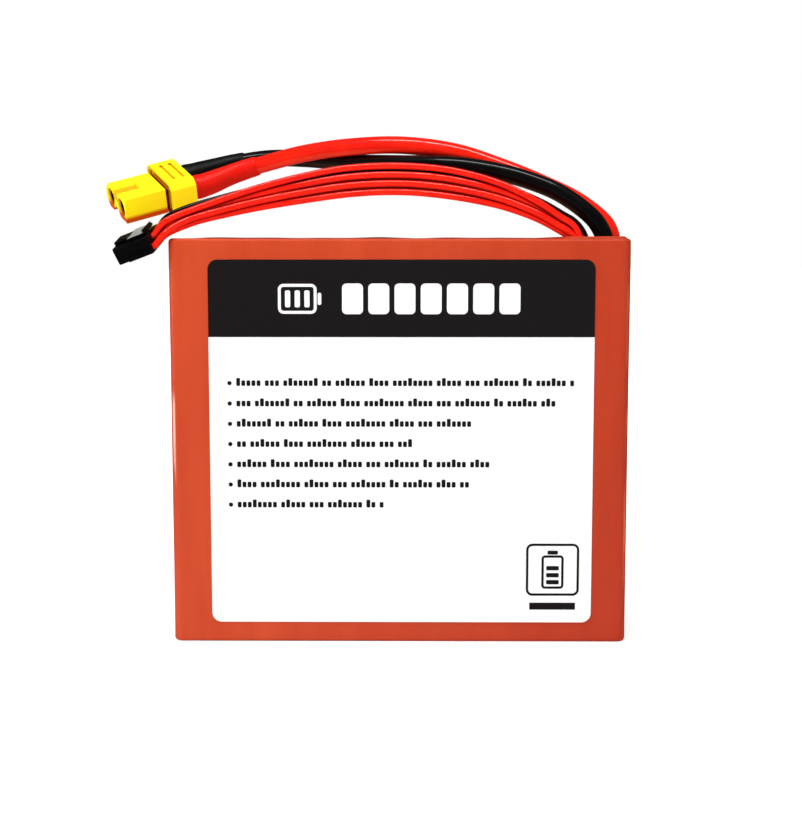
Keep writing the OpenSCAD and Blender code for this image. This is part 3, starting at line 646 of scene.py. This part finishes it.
def sleeve():
    """Shrink film over the boards: rounded edges, a sealed bottom, a wavy lip folded over the top,
    and an opening at one top corner, where the film stands up a little round the leads."""
    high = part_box("shrink_sleeve")[1]
    half_x, half_y, height = high.x, high.y, high.z
    corner, edge, lip, wall = 2.4 * MM, 0.9 * MM, 8 * MM, 0.35 * MM
    exit_x, exit_y, exit_corner = half_x - 16.6 * MM, half_y - 16.8 * MM, 1.2 * MM
    exit_lip, exit_rise = 0.75 * MM, 0.55 * MM
    drawn_in, end_waves, top_waves = 0.07 * MM, 0.04 * MM, 0.16 * MM
    fold_height, curl_height, seam_height = 0.10 * MM, 0.22 * MM, 0.12 * MM
    turn, arc, rows, lip_rows = 8, 5, 44, 9
    along = [44, 112, 44, 112]
    inner = loop(half_x - lip, half_y - lip, 3 * MM, turn, along)
    seam = loop(half_x - half_y + 1 * MM, 0.6 * MM, 0.5 * MM, turn, along)
    outer = loop(half_x, half_y, corner, turn, along)

    def opening_at(spot):
        return (smooth_step(spot.x, exit_x, exit_x + exit_corner)
                * smooth_step(-spot.y, exit_y, exit_y + exit_corner))

    def on_lip(k, share, base):
        """A point of the bottom's or top's film, share of the way in, and its lift off the flat."""
        spot, normal = outer[k]
        start = spot - normal * edge
        if base == 0:
            p = start.lerp(seam[k][0], share)
            return p, seam_height * share ** 2 * (1 + ripple(p, 9 * MM))
        opening = opening_at(spot)
        wave = 1 + 0.05 * ripple(spot, 17 * MM) + 0.02 * ripple(spot, 5 * MM)
        p = start.lerp(inner[k][0], share * ((1 - opening) * wave + opening * exit_lip / lip))
        fold = math.sin(math.pi * share) * fold_height * ripple(spot, 3.5 * MM)
        curl = curl_height * share ** 3 * (1 + ripple(spot, 12 * MM))
        return p, fold + curl * (1 - opening) + opening * exit_rise * share

    # The film's rows, from the middle of the bottom up the walls to the lip's edge on the top.
    # Each is its kind, how far in it is (a share of a lip, or metres on a wall), and its height.
    profile = [("lip", 1 - n / lip_rows, 0.0) for n in range(lip_rows + 1)]
    quarter = [math.radians(90 * k / arc) for k in range(arc + 1)]
    profile += [("wall", edge * (1 - math.sin(a)), edge * (1 - math.cos(a))) for a in quarter[1:]]
    profile += [("wall", 0.0, edge + (height - 2 * edge) * k / rows) for k in range(1, rows)]
    profile += [
        ("wall", edge * (1 - math.cos(a)), height - edge * (1 - math.sin(a))) for a in quarter]
    profile += [("lip", n / lip_rows, height) for n in range(1, lip_rows + 1)]

    points = []
    for kind, share, z in profile:
        ring = outer
        if kind == "wall":
            ring = loop(half_x - share, half_y - share, corner - share, turn, along)
        ends = smooth_step(abs(z - height / 2), height * 0.44, height * 0.5)
        for k, (spot, normal) in enumerate(ring):
            lift = top_waves * ends * ripple(spot, 30 * MM) if z > height / 2 else 0
            if kind == "lip":
                p, raised = on_lip(k, share, z)
                lift += raised
            else:
                at = spot + Vector((0, 0, z))
                pull = drawn_in * (ripple(at, 26 * MM) - 1) + end_waves * ends * ripple(at, 6 * MM)
                p = spot + normal * pull
            points.append((p.x, p.y, max(z + lift, 0.0)))
    count = len(outer)
    faces = []
    for row in range(len(profile) - 1):
        faces += ring_faces(row * count, (row + 1) * count, count)
    faces.append(tuple(range(count))[::-1])
    mesh = baked(mesh_of("sleeve_film", points, faces),
                 ("SOLIDIFY", {"thickness": wall, "offset": -1}))
    piece("sleeve_film", mesh, "sleeve_pvc", "pack", ["shrink_sleeve"], sharp=50)


# ---- Label --------------------------------------------------------------

INK = 0.02 * MM  # how thick the printed layers are


def label():
    """A white card with a plain header, a battery, level cells, rows of blocks and a mark."""
    low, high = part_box("front_label")
    width, height, thick = high.x - low.x, high.z - low.z, high.y - low.y
    corner, header = 2.4 * MM, 19.2 * MM
    middle = (low.x + high.x) / 2
    FINISHES["ink_black"] = ink_finish("ink_black", srgb(26, 22, 23))
    FINISHES["ink_white"] = ink_finish("ink_white", srgb(252, 252, 252))

    def on_label(depth):
        """Label coordinates, from its middle bottom, to the frame, depth out from the sleeve."""
        turn = Matrix.Rotation(math.radians(90), 4, "X")
        return Matrix.Translation((middle, high.y - depth, low.z)) @ turn

    outline = rectangle((0, height / 2), (width, height), corner)
    card = plate("label_card", [outline], thick, on_label(0))
    piece("label_card", card, "label_film", "pack", ["front_label"])

    top = [p for p in outline if p[1] > height - corner * 1.01]
    band = top + [(-width / 2, height - header), (width / 2, height - header)]
    ink("label_header", [band], on_label(thick), "ink_black")

    glyph = battery_and_cells(height - 9.7 * MM)
    ink("label_cells", glyph, on_label(thick + INK), "ink_white")

    first_row, row_pitch, rows_left = height - 30.7 * MM, 5.12 * MM, -43.3 * MM
    marks = []
    for row, end in enumerate((44.1, 39.6, 18.6, 3.3, 24.3, 17.8, -3.7)):
        marks += block_row(rows_left, end * MM, first_row - row * row_pitch, row)
    mark_x = 38.2 * MM
    marks += battery_mark((mark_x, 13.6 * MM), 0.6 * MM)
    marks.append(rectangle((mark_x, 4.2 * MM), (11.6 * MM, 1.8 * MM), 0.1 * MM, 1))
    ink("label_marks", marks, on_label(thick), "ink_black")


def battery_and_cells(z):
    """The header's outlines: a battery on its side with three bars, and a row of level cells."""
    battery, line = -25.8 * MM, 0.72 * MM
    found = frame_outlines((battery, z), (9.6 * MM, 7.4 * MM), 1.4 * MM, line)
    found.append(rectangle((battery + 5.5 * MM, z), (0.9 * MM, 3 * MM), 0.4 * MM))
    bar = (1.3 * MM, 4.2 * MM)
    found += [rectangle((battery + x * MM, z), bar, 0.4 * MM) for x in (-2.4, 0, 2.4)]
    first, pitch, cell = -12.1 * MM, 6.5 * MM, (5.2 * MM, 7.6 * MM)
    return found + [rectangle((first + n * pitch, z), cell, 1.1 * MM) for n in range(7)]


def ink(name, outlines, place, finish):
    """A printed layer of the label."""
    obj = piece(name, plate(name, outlines, INK, place), finish, "pack")


def frame_outlines(centre, size, radius, line):
    """The two outlines of a rounded frame with the given line width."""
    inner = (size[0] - 2 * line, size[1] - 2 * line)
    return [rectangle(centre, size, radius), rectangle(centre, inner, max(radius - line, 0.1 * MM))]


def block_row(start, end, middle, row):
    """A dot and a row of small plain blocks in groups, like the lines that stand for text in a
    layout. Each row starts at another group, so that no two look the same."""
    pitch, gap, dot, indent = 1.27 * MM, 0.8 * MM, 1.1 * MM, 2.1 * MM
    block_width, low_block, tall_block = 0.96 * MM, 1.4 * MM, 2 * MM
    groups = (5, 3, 7, 2, 6, 4, 8)
    base = middle - low_block / 2
    found = [rectangle((start + 0.4 * MM, middle), (dot, dot), 0.54 * MM, 3)]
    x, group = start + indent, row
    while x < end - pitch:
        for n in range(groups[group % len(groups)]):
            if x > end - pitch:
                break
            tall = tall_block if (n * 3 + group) % 5 == 0 else low_block
            centre = (x + block_width / 2, base + tall / 2)
            found.append(rectangle(centre, (block_width, tall), 0.25 * MM, 2))
            x += pitch
        x += gap
        group += 1
    return found


def battery_mark(centre, line):
    """An upright cell in a square frame, as a plain drawing."""
    x, z = centre
    found = frame_outlines(centre, (13.4 * MM, 13.4 * MM), 1.6 * MM, line)
    found += frame_outlines((x, z - 0.6 * MM), (5.6 * MM, 8.6 * MM), 0.9 * MM, line)
    found.append(rectangle((x, z + 4.4 * MM), (2.6 * MM, 1.0 * MM), 0.2 * MM, 2))
    bar = (3.2 * MM, 1.1 * MM)
    return found + [rectangle((x, z + dz * MM), bar, 0.25 * MM, 2) for dz in (-3.2, -1.4, 0.4)]


# ---- Leads --------------------------------------------------------------


def main_lead(colour, sign):
    """One power lead, in two lengths that meet mid-span: the first bends where it leaves the pack,
    the second bends behind the plug. A shrink tube covers its end."""
    root, radius = centre_lines(sign + "_lead_root")[0]
    span, tail = (centre_lines(sign + end)[0][0] for end in ("_lead", "_lead_end"))
    line = smooth_line(joined(root, span, tail), 0.8 * MM)
    if (Vector(line[0]) - root[0]).length > (Vector(line[-1]) - root[0]).length:
        line = line[::-1]
    slot, sides = colour + "_silicone", 28
    middle = nearest(line, sum(span, Vector()) / len(span))

    name = f"lead_{colour}_exit"
    exit_piece = piece(name, sweep(name, line[:middle + 1], radius, sides), slot,
                       replaces=[sign + "_lead_root", sign + "_lead"])
    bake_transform(exit_piece)

    name = f"lead_{colour}_plug"
    plug_piece = piece(name, sweep(name, line[middle:], radius, sides), slot,
                       replaces=[sign + "_lead_end"])
    near_end = min((tail[0], tail[-1]), key=lambda p: (p - Vector(line[middle])).length)
    start = nearest(line, near_end)
    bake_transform(plug_piece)
    shrink_tube(colour, sign, line[start:], radius)


def shrink_tube(colour, sign, line, radius):
    """A shrink tube from the end of the lead into the plug's cap: flared over the solder cup,
    drawn down unevenly on to the wire, with a thin cut end."""
    length = np.linalg.norm(np.diff(line, axis=0), axis=1).sum()
    cap_end = length - 4.2 * MM

    def size(s, turn):
        """The tube's radius at s along it and turn round it."""
        grown = 0.32 * MM + 0.5 * MM * smooth_step(s, 3 * MM, cap_end - 3 * MM)
        flare = 0.16 * MM * math.exp(-((s - cap_end) / (1.2 * MM)) ** 2)
        drawn = 0.05 * MM * math.sin(s / (1.9 * MM)) * smooth_step(s, 1 * MM, 5 * MM)
        lobes = 0.05 * MM * math.sin(2 * math.pi * (2 * turn + s / (17 * MM)))
        lip = -0.14 * MM * (1 - smooth_step(s, 0, 0.5 * MM))
        return radius + grown + flare + drawn + lobes + lip

    name = f"tube_{colour}"
    mesh = sweep(name, smooth_line(line, 0.4 * MM), size, 32)
    piece(name, mesh, colour + "_shrink", "main_plug", [sign + "_shrink_tube"])


def miss(first, second):
    """How badly two lines fail to meet when both run on straight to the middle of the gap."""

    def ends(line):
        return [(line[0], line[0] - line[1]), (line[-1], line[-1] - line[-2])]

    def gap(a, out_a, b, out_b):
        half = (a - b).length / 2
        return (a + out_a.normalized() * half - b - out_b.normalized() * half).length

    return min(gap(*a, *b) for a in ends(first) for b in ends(second))


def balance_wires():
    """The seven thin wires, each one smooth length from its pad to the balance plug."""
    roots = [line for line, radius in centre_lines("balance_roots")]
    for n in range(1, 8):
        span, radius = centre_lines(f"balance_wire_{n}")[0]
        root = min(roots, key=lambda r: miss(r, span))
        line = smooth_line(joined(root, span), 1.1 * MM)
        slot = "black_silicone" if n == 1 else "red_silicone"
        replaced = [f"balance_wire_{n}"] + (["balance_roots"] if n == 1 else [])
        name = f"thin_wire_{n}"
        wire = piece(name, sweep(name, line, radius, 14), slot, replaces=replaced)
        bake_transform(wire)


# ---- Plugs --------------------------------------------------------------


def plugs():
    """The plugs' own CAD shapes with their moulded edges rounded over."""
    shapes = [
        ("plug_nose", "plug_housing", 0.4 * MM, "yellow_nylon", "main_plug"),
        ("plug_cover", "plug_cap", 0.4 * MM, "yellow_nylon", "main_plug"),
        ("balance_shell", "balance_housing", 0.14 * MM, "black_nylon", "balance_lead"),
        ("balance_latch_arm", "balance_latch", 0.14 * MM, "latch_nylon", "balance_latch"),
    ]
    for name, node, width, slot, body in shapes:
        piece(name, rounded(node, width), slot, body, [node])


# ---- Stage --------------------------------------------------------------


def softbox(name, place, target, size, power, mirrored=False):
    """A rectangular light aimed at target. Glossy surfaces show it only if it is mirrored."""
    light = bpy.data.lights.new(name, "AREA")
    light.shape = "RECTANGLE"
    light.size, light.size_y = size
    light.energy = power
    obj = bpy.data.objects.new(name, light)
    bpy.context.scene.collection.objects.link(obj)
    obj.location = place
    obj.visible_glossy = mirrored
    obj.rotation_mode = "QUATERNION"
    obj.rotation_quaternion = (Vector(target) - Vector(place)).to_track_quat("-Z", "Y")


def stage():
    """A pale floor that fades to white, a white surround, soft boxes, and the camera."""
    scene = bpy.context.scene
    scene.view_settings.view_transform = "Standard"
    floor_mesh = mesh_of("floor", [(-4, -4, 0), (4, -4, 0), (4, 6, 0), (-4, 6, 0)], [(0, 1, 2, 3)])
    floor = bpy.data.objects.new("floor", floor_mesh)
    scene.collection.objects.link(floor)
    f = Finish("floor_paper")
    rays = f.add("ShaderNodeLightPath")
    pale = f.mix(f.noise(0.4, 2), (0.9, 0.9, 0.9, 1), (0.93, 0.93, 0.93, 1))
    f.set(Base_Color=f.mix(rays.outputs["Is Glossy Ray"], pale, (0.12, 0.12, 0.12, 1)))
    f.set(Roughness=0.9, Specular_IOR_Level=0.1, Emission_Color=(1, 1, 1, 1))
    reach = f.add("ShaderNodeVectorMath", {0: f.place}, operation="LENGTH").outputs["Value"]
    lift = f.remap(reach, 0.1, 0.5, 0.45, 1.1)
    f.set(Emission_Strength=f.product(rays.outputs["Is Camera Ray"], lift))
    floor_mesh.materials.append(f.material)

    world = bpy.data.worlds.new("studio")
    scene.world = world
    world.use_nodes = True
    tree = world.node_tree
    background = tree.nodes["Background"]
    background.inputs["Color"].default_value = (1, 1, 1, 1)
    path = tree.nodes.new("ShaderNodeLightPath")
    in_light, in_gloss, in_view = 0.24, 0.06, 1.0  # how bright the surround is to each kind of ray
    level = None
    for ray, strength in (("Is Glossy Ray", in_gloss), ("Is Camera Ray", in_view)):
        choice = tree.nodes.new("ShaderNodeMapRange")
        tree.links.new(path.outputs[ray], choice.inputs["Value"])
        choice.inputs["To Min"].default_value = in_light
        if level:
            tree.links.new(level, choice.inputs["To Min"])
        choice.inputs["To Max"].default_value = strength
        level = choice.outputs[0]
    tree.links.new(level, background.inputs["Strength"])

    target = (0, 0, 60 * MM)
    softbox("key", (-0.55, -0.75, 0.65), target, (0.5, 0.5), 5.2)
    softbox("fill", (0.7, -0.8, 0.35), target, (0.5, 0.6), 1.3)
    softbox("strip", (0, -0.26, 0.85), (0, 0, 0.11), (0.9, 0.12), 4.5, mirrored=True)
    softbox("left_edge", (-0.9, -0.05, 0.12), target, (0.2, 0.5), 1.2, mirrored=True)
    softbox("back", (0.1, 0.9, 0.7), target, (0.7, 0.5), 4)

    camera = bpy.data.objects.new("camera", bpy.data.cameras.new("camera"))
    scene.collection.objects.link(camera)
    camera.data.sensor_width = 36
    camera.data.lens = 64.18
    camera.data.clip_start = 0.01
    camera.location = (3.4 * MM, -383 * MM, 100 * MM)
    camera.rotation_euler = (math.radians(90 - 6.3), 0, math.radians(0.475))
    scene.camera = camera


# ---- Assembly -----------------------------------------------------------

for part in record["subparts"]:
    paint = nodes[part["node"]].data.materials
    paint.clear()
    paint.append(FINISHES[part["material_slot"]])

sleeve()
label()
main_lead("red", "positive")
main_lead("black", "negative")
balance_wires()
plugs()
stage()
